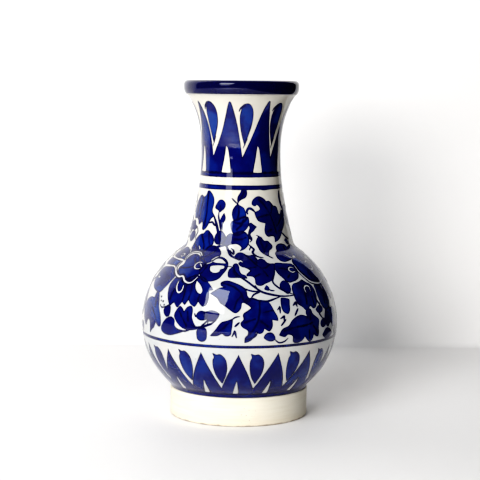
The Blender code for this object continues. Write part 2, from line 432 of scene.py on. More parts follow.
def belly_arc(start, end):
    """Points up the belly's ellipse between two heights, its start left out."""
    def lean(height):
        return math.asin((height - belly_level) / (belly_rise if height > belly_level else belly_drop))
    steps = round((lean(end) - lean(start)) * belly_width / ring_gap)
    found = []
    for i in range(1, steps + 1):
        angle = lean(start) + (lean(end) - lean(start)) * i / steps
        half = belly_rise if angle > 0 else belly_drop
        found.append((belly_width * math.cos(angle), belly_level + half * math.sin(angle)))
    return found


heel_end = (belly_width * math.sqrt(1 - ((heel_top - belly_level) / belly_drop) ** 2), heel_top)
profile = [heel[0]] + bezier([*heel, heel_end], 12)
profile += belly_arc(heel_top, belly_level) + belly_arc(belly_level, shoulder_start)
profile += bezier([profile[-1], shoulder_bend, neck_foot], 24)
profile += bezier([neck_foot, *neck_rise, (waist_radius, waist_level)], 66)
profile += bezier([(waist_radius, waist_level), *flare, flare_top], 46)
outer_wall = np.array(profile)
tangent = np.gradient(outer_wall, axis=0)
tangent /= np.linalg.norm(tangent, axis=1)[:, None]
outward = np.stack([tangent[:, 1], -tangent[:, 0]], axis=1)
inner_wall = outer_wall - outward * wall_thickness


def wall_between(low, high, support=0.00005):
    """A wall section's closed outline: up the outside, across, and down the inside.
    A thin ring beside each joint keeps the shading even across it."""
    outline = []
    for wall, stride, up in ((outer_wall, 1, True), (inner_wall, 2, False)):
        heights = [h for h in wall[::stride, 1] if low + 3 * support < h < high - 3 * support]
        heights = [low, low + support, *heights, high - support, high]
        face = [(float(np.interp(h, wall[:, 1], wall[:, 0])), float(h)) for h in heights]
        outline += face if up else face[::-1]
    return outline


lower_bowl = thrown("lower_bowl_wall", wall_between(foot_joint, belly_level))
lower_bowl.data.materials.append(white_glaze)
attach(lower_bowl, "root")
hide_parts("lower_bowl", "foot_slip")


# ------------------------------------------------------------------------------------------ upper bowl
# The upper half of the belly is a second bowl, turned over and joined to the lower one on a lapped, slipped
# edge. It closes in to the shoulder, where the neck is luted on.
slip_gap = 0.0003         # under the bed of slip that carries the neck
neck_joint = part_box("neck_slip")[0].z + slip_gap
upper_bowl = thrown("upper_bowl_wall", wall_between(belly_level, neck_joint))
upper_bowl.data.materials.append(white_glaze)
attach(upper_bowl, "root")
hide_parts("upper_bowl", "belly_slip")


# ------------------------------------------------------------------------------------------------ neck
# The neck is thrown as an open tube, drawn in to a waist and flared again under the lip. It is luted onto
# the shoulder and glazed white inside and out.
lip_joint = (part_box("lip_slip")[0].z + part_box("lip_slip")[1].z) / 2
neck = thrown("neck_wall", wall_between(neck_joint, lip_joint))
neck.data.materials.append(white_glaze)
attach(neck, "root")
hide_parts("neck", "neck_slip")


# ------------------------------------------------------------------------------------------------- lip
# The lip is a rolled coil of clay, luted on the neck's flare. Its outside and top are brushed solid cobalt
# under the clear glaze, and its inner face and the strip under the roll stay white.
cobalt_line = (0.0006, 0.0010, 0.040)
cobalt_fill = (0.0006, 0.0016, 0.076)
cobalt_thin = (0.0030, 0.0340, 0.200)
cobalt_streak = (0.0010, 0.0050, 0.110)
cobalt_grain = (0.0006, 0.0010, 0.030)
cobalt, tree, shader, place = new_material("cobalt_brushwork")
line_distance = add_node(tree, "ShaderNodeAttribute", attribute_name="line_distance").outputs["Fac"]
thin_wash = add_node(tree, "ShaderNodeAttribute", attribute_name="thin_wash").outputs["Fac"]
streak_place = add_node(tree, "ShaderNodeMapping", {"Vector": place, "Scale": (1.6, 1.6, 0.55)})
streaks = noise(tree, streak_place.outputs["Vector"], 150, 4, 0.6)
patches = noise(tree, place, 62, 3)
grains = noise(tree, place, 900, 2)
inked = calculate(tree, "ADD", line_distance, spread(tree, streaks, 0.2, 0.8, -0.5, 0.5))
inside_line = spread(tree, inked, 0.30, 1.30)
pale = calculate(tree, "MULTIPLY", inside_line, thin_wash)
pale = calculate(tree, "MULTIPLY", pale, spread(tree, patches, 0.42, 0.62, 0.05, 1))
colour = mix_colours(tree, inside_line, cobalt_line, cobalt_fill)
colour = mix_colours(tree, pale, colour, cobalt_thin)
colour = mix_colours(tree, spread(tree, streaks, 0.5, 0.8, 0, 0.25), colour, cobalt_streak)
colour = mix_colours(tree, spread(tree, grains, 0.60, 0.78, 0, 0.25), colour, cobalt_grain)
glaze_over(tree, shader, place, colour, pinholes=0.2, polish=0.02)
shader.inputs["IOR"].default_value = 1.48

lip_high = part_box("lip_coil")[1]
lip_radius, lip_top = lip_high.x, lip_high.z
lip_width = 0.0072
brush_margin = 0.0008     # left white under the roll
lip_round = 0.0034
lip_tuck_across = 0.0030  # how far the roll turns in underneath
lip_tuck_up = 0.0062
tuck_steps = 12
lip_inner = float(np.interp(lip_joint, inner_wall[:, 1], inner_wall[:, 0]))
under_round = []
for i in range(tuck_steps + 1):
    turn = math.radians(-90 + 90 * i / tuck_steps)
    under_round.append((lip_radius - lip_tuck_across * (1 - math.cos(turn)),
                        lip_joint + lip_tuck_up * (1 + math.sin(turn))))
upper_round = rounded((lip_radius - lip_round, lip_top - lip_round), lip_round, 0, 90, 10)
inner_edge = rounded((lip_radius - lip_width + lip_round, lip_top - lip_round), lip_round, 90, 90, 10)
lip_outline = [(lip_inner, lip_joint)] + under_round + face_steps(under_round[-1], upper_round[0], 5)
lip_outline += upper_round + inner_edge + face_steps(inner_edge[-1], (lip_inner, lip_joint), 8)
lip = thrown("rolled_lip", lip_outline)
lip.data.materials.append(cobalt)
lip.data.materials.append(white_glaze)
for face in lip.data.polygons:
    outward_lean = face.normal.xy.dot(face.center.xy.normalized())
    if face.center.z < (lip_top - lip_round if outward_lean < -0.5 else lip_joint + brush_margin):
        face.material_index = 1
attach(lip, "root")
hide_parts("lip_coil", "lip_slip")


# ----------------------------------------------------------------------------------------- foot frieze
# Sixteen pointed flames stand on a solid band round the bottom of the bowl, each with a white slit. The
# brush drew them in cobalt; the fired colour stands a little proud of the white ground.
turn_at = np.degrees(np.concatenate([[0], np.cumsum(
    np.hypot(*np.diff(outer_wall, axis=0).T) * 2 / (outer_wall[1:, 0] + outer_wall[:-1, 0]))]))
turn_at -= np.interp(belly_level, outer_wall[:, 1], turn_at)
# A place on the wall is (turn, climb), both in degrees: turn goes round the axis from the front, to the
# right, and climb goes up the wall from the widest ring in steps as long as a degree round it.
# A figure drawn in them keeps its shape on the wall.


def on_wall(places, lift):
    """The (x, y, z) points of an array of (turn, climb) places, lifted square off the wall."""
    turn, climb = np.radians(places[:, 0]), places[:, 1]
    radius = np.interp(climb, turn_at, outer_wall[:, 0]) + lift * np.interp(climb, turn_at, outward[:, 0])
    height = np.interp(climb, turn_at, outer_wall[:, 1]) + lift * np.interp(climb, turn_at, outward[:, 1])
    return np.stack([radius * np.sin(turn), -radius * np.cos(turn), height], axis=1)


def climb_of(height):
    """The climb of a height on the wall."""
    return float(np.interp(height, outer_wall[:, 1], turn_at))


def brushed(points, step, closed=True):
    """A smooth line through given places. Where it turns back sharply it keeps a tip."""
    points = np.array(points, float)
    before, after = np.roll(points, 1, axis=0), np.roll(points, -1, axis=0)
    if not closed:
        before[0], after[-1] = points[0], points[-1]
    into, away = points - before, after - points
    lengths = np.maximum(np.linalg.norm(into, axis=1) * np.linalg.norm(away, axis=1), 1e-9)
    softness = np.clip(1.4 * (into * away).sum(axis=1) / lengths + 0.4, 0, 1)
    along = after - before
    along *= (softness / np.maximum(np.linalg.norm(along, axis=1), 1e-9))[:, None]
    line = []
    for i in range(len(points) - (not closed)):
        j = (i + 1) % len(points)
        gap = np.linalg.norm(points[j] - points[i])
        steps = max(1, round(gap / step))
        t = (np.arange(steps) / steps)[:, None]
        first, second = points[i] + along[i] * gap / 3, points[j] - along[j] * gap / 3
        line.append((1 - t) ** 3 * points[i] + 3 * t * (1 - t) ** 2 * first
                    + 3 * t ** 2 * (1 - t) * second + t ** 3 * points[j])
    if not closed:
        line.append(points[-1:])
    return np.concatenate(line)


def stroke(points, width, step, ends=(0.4, 0.4)):
    """The outline of one brush stroke along a line. Each end narrows to its share of the width."""
    line = brushed(points, step, closed=False)
    along = np.gradient(line, axis=0)
    along /= np.linalg.norm(along, axis=1)[:, None]
    across = np.stack([-along[:, 1], along[:, 0]], axis=1)
    half = width / 2 * np.interp(np.linspace(0, 1, len(line)), [0, 0.3, 0.7, 1], [ends[0], 1, 1, ends[1]])
    return np.concatenate([line + across * half[:, None], (line - across * half[:, None])[::-1]])


def inside_outline(places, outline):
    """Which places a closed outline runs round, even where it crosses itself."""
    found = np.zeros(len(places), bool)
    near = np.flatnonzero(((places >= outline.min(axis=0)) & (places <= outline.max(axis=0))).all(axis=1))
    x, y = places[near, 0][:, None], places[near, 1][:, None]
    ax, ay = outline[:, 0][None], outline[:, 1][None]
    bx, by = np.roll(outline[:, 0], -1)[None], np.roll(outline[:, 1], -1)[None]
    with np.errstate(divide="ignore", invalid="ignore"):
        crossed = ((ay > y) != (by > y)) & (x < (bx - ax) * (y - ay) / (by - ay) + ax)
    found[near] = (crossed * np.where(by > ay, 1, -1)).sum(axis=1) != 0
    return found


paint_depth = 0.00025     # how thick a coat is, most of it sunk in the wall


def painted(name, fills, reserves=(), veins=(), step=0.9, lift=0.0001):
    """One thin closed coat of cobalt on the wall. Fills are (outline, wash) pairs, wash being how thin
    and pale the colour lies; reserves are outlines left white; veins are darker lines inside."""
    outlines = [np.asarray(outline) for outline, _ in fills] + [np.asarray(r) for r in reserves]
    washes = [wash for _, wash in fills]
    inked = np.concatenate([*outlines, *veins])
    tree = KDTree(len(inked))
    for i, (turn, climb) in enumerate(inked):
        tree.insert((turn, climb, 0), i)
    tree.balance()
    low, high = inked.min(axis=0), inked.max(axis=0)
    grid = []
    for i, row in enumerate(np.arange(low[1], high[1], step * 0.866)):
        turns = np.arange(low[0] + step / 2 * (i % 2), high[0], step)
        grid.append(np.stack([turns, np.full(len(turns), row)], axis=1))
    grid = np.concatenate(grid)
    filled = np.zeros(len(grid), bool)
    for outline in outlines[:len(fills)]:
        filled |= inside_outline(grid, outline)
    grid = grid[filled]
    grid = grid[[tree.find((turn, climb, 0))[2] > 0.45 * step for turn, climb in grid]]
    edges, start = [], 0
    for outline in outlines:
        loop = range(start, start + len(outline))
        edges += list(zip(loop, [*loop[1:], start]))
        start += len(outline)
    corners = np.concatenate([*outlines, *veins, grid])
    places, _, faces, _, _, _ = delaunay_2d_cdt([tuple(c) for c in corners], edges, [], 0, 1e-5)
    places = np.array([(p.x, p.y) for p in places])
    faces = np.array(faces)
    middles = places[faces].mean(axis=1)
    face_wash = np.full(len(faces), -1.0)
    for outline, thin in zip(outlines, washes):
        face_wash[inside_outline(middles, outline)] = thin
    for outline in outlines[len(fills):]:
        face_wash[inside_outline(middles, outline)] = -1
    faces, face_wash = faces[face_wash >= 0], face_wash[face_wash >= 0]
    wash = np.zeros(len(places))
    np.maximum.at(wash, faces.ravel(), np.repeat(face_wash, 3))
    scale = np.interp(places[:, 1], turn_at, outer_wall[:, 0]) * math.radians(1) * 1000
    distance = np.array([tree.find((t, c, 0))[2] for t, c in places]) * scale
    mesh = bpy.data.meshes.new(name)
    mesh.from_pydata([tuple(p) for p in on_wall(places, lift)], [], faces.tolist())
    for attribute, values in (("line_distance", distance), ("thin_wash", wash)):
        mesh.attributes.new(attribute, "FLOAT", "POINT").data.foreach_set("value", values.astype(np.float32))
    coat = bpy.data.objects.new(name, mesh)
    bpy.context.scene.collection.objects.link(coat)
    bpy.ops.object.select_all(action="DESELECT")
    coat.select_set(True)
    bpy.context.view_layer.objects.active = coat
    bpy.ops.object.mode_set(mode="EDIT")
    bpy.ops.mesh.select_all(action="SELECT")
    bpy.ops.mesh.delete_loose()
    bpy.ops.mesh.select_all(action="SELECT")
    bpy.ops.mesh.remove_doubles(threshold=MERGE)
    bpy.ops.object.mode_set(mode="OBJECT")
    body = coat.modifiers.new("coat", "SOLIDIFY")
    body.thickness = paint_depth
    body.offset = -1
    bpy.ops.object.modifier_apply(modifier="coat")
    bpy.ops.object.shade_smooth_by_angle(angle=math.radians(SHARP_ANGLE))
    coat.data.materials.append(cobalt)
    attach(coat, "root")
    return coat


flame_count = 16
flame_turn = 360 / flame_count
foot_climb = climb_of(foot_joint) + 0.4
band_climb = -44.0
hand = random.Random(7)


def flame_row(count, front, base, band, valley, peak, tip, shoulder, slit, sway, wash, step):
    """A row of pointed flames on a band, each leaning as the brush went. Returns the fills and the slits."""
    pitch = 360 / count
    leans = [hand.uniform(-sway, sway) for _ in range(count)]
    drops = [hand.uniform(-sway, sway) for _ in range(count)]
    fills, slits = [], []
    for i in range(count):
        start = front - 180 + pitch * i
        lean = leans[i]
        left = (start + valley[0], valley[1] + drops[i])
        right = (start + pitch + valley[0], valley[1] + drops[(i + 1) % count])
        top = peak[1] + lean
        side = brushed([left, (start + shoulder[0][0] + lean / 2, shoulder[0][1]),
                        (start + peak[0] - tip + lean, top - 1.5), (start + peak[0] + lean, top),
                        (start + peak[0] + tip + lean, top - 1.8),
                        (start + shoulder[1][0] + lean / 2, shoulder[1][1]), right], step, closed=False)
        under = [(turn, band - 0.8) for turn in np.arange(right[0], left[0], -step)] + [(left[0], band - 0.8)]
        fills.append((np.concatenate([side, under]), wash * hand.uniform(0.6, 1.2)))
        slits.append(brushed([(start + x + lean / 3, y) for x, y in slit], step))
    fills.append((banding(base, band, 0.15, None, step), wash * 0.5))
    return fills, slits


def banding(low, high, swing, overlap, step):
    """A line right round the wall between two climbs, wandering a little. It overlaps itself at a turn."""
    turns = np.arange(-180, 180, step)
    phase = [hand.uniform(0, 360) for _ in range(6)]
    edges = []
    for k, level in enumerate((low, high)):
        wander = sum(np.sin(np.radians(turns * (n + 1) + phase[n + 3 * k])) / (n + 1) for n in range(3))
        edges.append(level + swing * wander)
    lower, upper = edges
    if overlap is not None:
        slip_in = np.clip((turns - overlap) / 3, 0, 1) * np.clip((overlap + 16 - turns) / 10, 0, 1)
        lower = lower - 0.9 * slip_in
    lower, upper = np.append(lower, lower[0]), np.append(upper, upper[0])
    turns = np.append(turns, 180)
    return np.concatenate([np.stack([turns, lower], axis=1), np.stack([turns, upper], axis=1)[::-1]])


foot_slit = [(-4.6, -43.4), (-1.0, -43.2), (-1.0, -36), (-1.5, -29.5), (-2.7, -34)]
flames, slits = flame_row(
    flame_count, front=0.5, base=foot_climb, band=band_climb, valley=(-12.7, -36.0), peak=(0, -9.0), tip=0.7,
    shoulder=((-7.1, -23.5), (5.0, -22.0)), slit=foot_slit, sway=0.7, wash=0.5, step=0.8)
painted("foot_frieze", flames, slits, step=0.8)


# ------------------------------------------------------------------------------------------ foot drops
# A drop of cobalt hangs between each two flames: one full press of a round brush, wide at the head and
# drawn out to a point. Its head keeps the flick where the brush first touched.
def fuller(outline, margin):
    """An outline let out all round by a margin, as a loaded brush spreads past the shape it draws."""
    outline = np.asarray(outline)
    before, after = np.roll(outline, 1, axis=0), np.roll(outline, -1, axis=0)
    along = (after - before) / np.maximum(np.linalg.norm(after - before, axis=1, keepdims=True), 1e-6)
    circling = np.sign(np.sum(outline[:, 0] * after[:, 1] - outline[:, 1] * after[:, 0]))
    return outline + margin * circling * np.stack([along[:, 1], -along[:, 0]], axis=1)


brush_spread = 0.35
drops = []
for i in range(flame_count):
    turn = 11.3 - 180 + flame_turn * i + hand.uniform(-0.8, 0.8)
    top = -10.3 + hand.uniform(-0.7, 0.7)
    drop = brushed([(turn + x, top + y) for x, y in (
        (-3.6, 0.6), (-1.6, -0.3), (0.6, 0), (3.3, -2.8), (4.1, -8), (3.0, -14.4), (0.2, -21.4),
        (-2.4, -15.8), (-3.8, -9.4), (-3.8, -3.8), (-2.9, -1.6))], 0.8)
    drops.append((fuller(drop, brush_spread), 0.6))
painted("foot_drops", drops, step=0.8)


# ------------------------------------------------------------------------------------------ belly line
# One line of cobalt is banded round just under the widest ring, the vase turning against a loaded brush.
# It parts the flowers above from the frieze below.
painted("belly_line", [(banding(-6.2, -4.5, 0.10, None, 1.5), 0.7)], step=1.5)


# --------------------------------------------------------------------------------------------- flowers
# Two open flowers face the front, a quarter turn apart: lobed petals round an eye, with white lines left
# bare between them. The same pair is painted again on the back of the vase.


def fills_of(shapes, step):
    """Painted figures from a list of (wash, places)."""
    return [(fuller(brushed(places, step), brush_spread), wash) for wash, places in shapes]


def strokes_of(lines, step):
    """Brush strokes from a list of (width, places)."""
    return [stroke(places, width, step) for width, places in lines]


def painted_twice(name, fills, reserves=(), veins=(), step=0.9, lift=0.0001):
    """A coat on the front of the vase, and its copy half a turn round on the back."""
    front = painted(name + "_front", fills, reserves, veins, step, lift)
    back = front.copy()
    back.data = front.data.copy()
    back.name = back.data.name = name + "_back"
    bpy.context.scene.collection.objects.link(back)
    for corner in back.data.vertices:
        corner.co.x, corner.co.y = -corner.co.x, -corner.co.y
    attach(back, "root")


flower_step = 0.8
left_flower = [
    # body of three lobes round the eye
    (0.45, [(-50, 50), (-49.5, 55), (-45, 58), (-40, 57), (-36, 54), (-31, 51), (-27, 47), (-27.5, 42),
            (-30.5, 37.5), (-34, 34), (-38.5, 34.5), (-42, 37), (-46, 36.5), (-50, 38.5), (-51.5, 42),
            (-49, 45.5)]),
    # upper right petal
    (0.35, [(-38, 60), (-36.5, 66), (-31, 70), (-25, 69.5), (-20, 65), (-18.3, 60), (-20, 55), (-24, 51),
            (-30, 48), (-35, 52)]),
    # right petal, a loop
    (0.30, [(-21, 56), (-17, 57), (-12, 54), (-9.5, 49), (-10, 44), (-12.5, 39), (-15, 35.5), (-20, 33.5),
            (-25, 34), (-29, 38), (-30, 42), (-27, 47), (-23, 50)]),
    # upper left petal, of two lobes
    (0.60, [(-59, 66), (-57, 73), (-53, 79), (-48, 82), (-45, 82.5), (-42, 86), (-38.5, 86.5), (-35, 84),
            (-31, 80), (-29.5, 75), (-30.5, 71), (-35, 68), (-38, 62), (-45, 61), (-51, 60), (-54, 58),
            (-58, 62)]),
    # left petals
    (0.70, [(-76, 53), (-72, 64), (-62, 63.5), (-54, 57.5), (-53, 50), (-58, 50.5), (-67, 50)]),
    (0.70, [(-76, 49), (-62, 48.5), (-54, 47.5), (-55, 43), (-62, 42), (-75, 43)]),
    (0.75, [(-75, 38), (-66, 40.5), (-58, 41), (-52, 36), (-50.5, 34), (-52, 31), (-55, 26), (-59, 22),
            (-65, 22.5), (-72, 25), (-76, 30)]),
    # the skirt of lower petals
    (0.40, [(-49, 33), (-51, 28), (-50, 23), (-48, 19), (-45, 15.5), (-42.4, 17.5), (-39, 15), (-36.2, 18.5),
            (-34, 17), (-32, 20.5), (-30, 18), (-27, 16.5), (-25.2, 20), (-22, 17), (-20, 18), (-19, 22),
            (-19.5, 27), (-17, 27.5), (-20, 31), (-24, 34.5), (-31, 37), (-38, 34), (-45, 36)]),
]
left_ring = [[(-36, 56.5), (-40, 60.5), (-45, 61.2), (-50, 60), (-52.7, 56.5), (-52.7, 52), (-51.6, 49.3)],
             [(-53.4, 48.2), (-55, 44), (-54, 40), (-50, 36.2), (-46, 34.7), (-43, 35.4), (-41, 33.8),
              (-39.5, 32.2), (-36, 31), (-33, 32), (-30.2, 36)]]
left_bare = [
    (1.0, [(-31.6, 49), (-34.5, 49.2), (-36.6, 47.4), (-36.9, 45), (-35.4, 43), (-32.8, 42.7),
           (-31.2, 43.4)]),
    (0.8, [(-33.2, 47.8), (-31.4, 46.2), (-30.4, 44.6)]),
    (0.9, [(-48, 68.5), (-46.6, 67.2), (-45, 65)]),
    (0.9, [(-63, 67.5), (-58, 63.5), (-53.6, 58.8)]),
    (0.9, [(-64.5, 55.5), (-60.5, 56.5), (-58, 54.5), (-60, 52.8), (-63, 53.3)]),
    (1.1, [(-76, 50.5), (-66, 49.6), (-57, 49)]),
    (1.2, [(-76, 41.5), (-66, 41.8), (-58, 42), (-54.4, 39.6)]),
    (1.0, [(-74, 33), (-71, 31), (-68.6, 31.6)]),
    (1.1, [(-44.4, 31.5), (-44, 27), (-41.4, 24), (-39, 25), (-38.8, 29)]),
    (1.0, [(-24.5, 52.2), (-21.8, 55.6), (-19.4, 57.4)]),
]
left_holes = [
    [(-22.8, 51), (-20, 54.2), (-16, 54.2), (-12.8, 51.6), (-11.4, 49.6), (-16, 49.7), (-20, 50)],
    [(-22.8, 46), (-22.2, 42.2), (-19, 40.3), (-15.5, 41.2), (-14.5, 43.6), (-12.3, 44.6), (-12.2, 46.8),
     (-17, 47.3)],
    [(-29.6, 33), (-29.4, 29), (-27, 25.4), (-24.6, 24.4), (-23.9, 26.6), (-26, 30)],
]
left_veins = [[(-46, 19), (-45.5, 25), (-45, 30)], [(-36.2, 19), (-36, 24), (-36.5, 30)],
              [(-25.5, 20.5), (-25, 23)], [(-32, 21), (-31.5, 27), (-33, 31)],
              [(-42, 57), (-41, 52), (-38, 48)], [(-50, 42), (-45, 42.5), (-39, 44)],
              [(-24, 66), (-28, 60), (-33, 55)], [(-47, 80), (-42, 72), (-40, 65)],
              [(-37, 84), (-36, 77), (-34, 71)], [(-56, 70), (-50, 66), (-46, 62.5)],
              [(-72, 60), (-64, 58), (-56, 54)], [(-70, 36), (-62, 34), (-55, 32)],
              [(-66, 25), (-61, 29), (-56, 33)]]

right_flower = [
    (0.40, [(35, 57), (36, 61), (40, 64.5), (41, 69), (45, 71.5), (50, 71.5), (55, 70), (58, 67), (60, 64),
            (57, 58), (52, 53.5), (45, 51), (38, 50.5), (35, 54)]),
    (0.55, [(58, 66), (66, 69), (74, 67), (78, 61), (76, 54), (70, 50), (62, 50), (57, 54)]),
    (0.30, [(28, 47), (30, 49.3), (38, 48.3), (45, 47), (47, 43), (46.5, 39), (44, 35), (40, 33), (36, 32),
            (33, 33.5), (31, 36), (28, 41)]),
    (0.50, [(48, 49), (53, 53), (60, 52), (66, 50), (74, 49), (78, 43), (77, 36), (71, 31), (64, 29.5),
            (58, 31), (53, 34), (50, 39), (48, 44)]),
    (0.45, [(36, 29), (40, 31.5), (46, 33), (49, 31), (53, 28.6), (54.5, 25), (54, 20), (52, 16), (49, 14.2),
            (46.5, 16), (43, 13.5), (40, 16), (37, 18), (35.6, 23)]),
    (0.60, [(57, 28), (56.4, 21), (58, 15), (62, 12), (66, 13), (69, 18), (70, 24), (68, 29), (62, 30)]),
    (0.70, [(71, 28), (71.5, 21), (75, 17), (80, 19), (83, 26), (82, 33), (77, 34)]),
    (0.70, [(79, 36), (85, 35), (90, 39), (91, 46), (86, 51), (80, 49), (79, 43)]),
    (0.65, [(78, 52), (84, 53), (88, 58), (86, 65), (79, 68), (77, 61)]),
]
right_bare = [
    (1.2, [(30.5, 50.6), (38, 49.4), (47, 47.8)]),
    (1.3, [(47.4, 46), (48, 40), (50.5, 35.4), (54, 31.4), (59, 29.4), (66, 28.6), (73, 30.4)]),
    (1.0, [(44.5, 40.2), (41.4, 39.8), (39.2, 41.6), (40, 43.6), (42.6, 44.2), (44.8, 43)]),
    (1.0, [(46, 59), (47.4, 57), (50, 54.6), (52, 53.6)]),
    (0.9, [(54, 54.4), (55.6, 55.4), (57.6, 54.4)]),
    (1.1, [(63, 41), (67, 39.4), (70.8, 41.6), (71, 45), (68, 47.4), (64.4, 46.6)]),
    (1.2, [(35, 31.4), (41, 32.2), (47, 34)]),
    (1.0, [(46, 24), (45.6, 27), (48, 28.6), (50.6, 27.4), (50.4, 24.6)]),
    (1.0, [(65, 27.6), (65.4, 24)]),
    (1.1, [(77, 51), (79, 44), (77.5, 36)]),
    (1.1, [(56, 27), (55.3, 21)]),
    (1.1, [(70, 27), (70.6, 21.5)]),
]
right_veins = [[(40, 64), (45, 60), (50, 56)], [(52, 68), (52, 62), (50, 57)],
               [(44, 17), (44.5, 22), (45, 28)], [(50, 16), (50, 21)], [(31, 44), (35, 43.5), (39, 42)],
               [(62, 16), (63, 21)],
               [(70, 62), (66, 57), (60, 53.5)], [(74, 40), (70, 36), (62, 33)], [(35.5, 36), (38.5, 38.5)]]
ring_ink = [(stroke(line, 3.2, flower_step, (0.8, 0.8)), 0.0) for line in left_ring]
ring_ink += [(stroke(places, 3.0, flower_step, (0.8, 0.8)), 0.0) for _, places in right_bare[1:2]]
flower_fills = fills_of(left_flower + right_flower, flower_step) + ring_ink
flower_bare = [stroke(line, 1.25, flower_step) for line in left_ring]
flower_bare += strokes_of(left_bare + right_bare, 0.6) + [brushed(hole, 0.6) for hole in left_holes]
flower_veins = [brushed(line, 0.6, closed=False) for line in left_veins + right_veins]
painted_twice("flowers", flower_fills, flower_bare, flower_veins, flower_step, 0.00012)


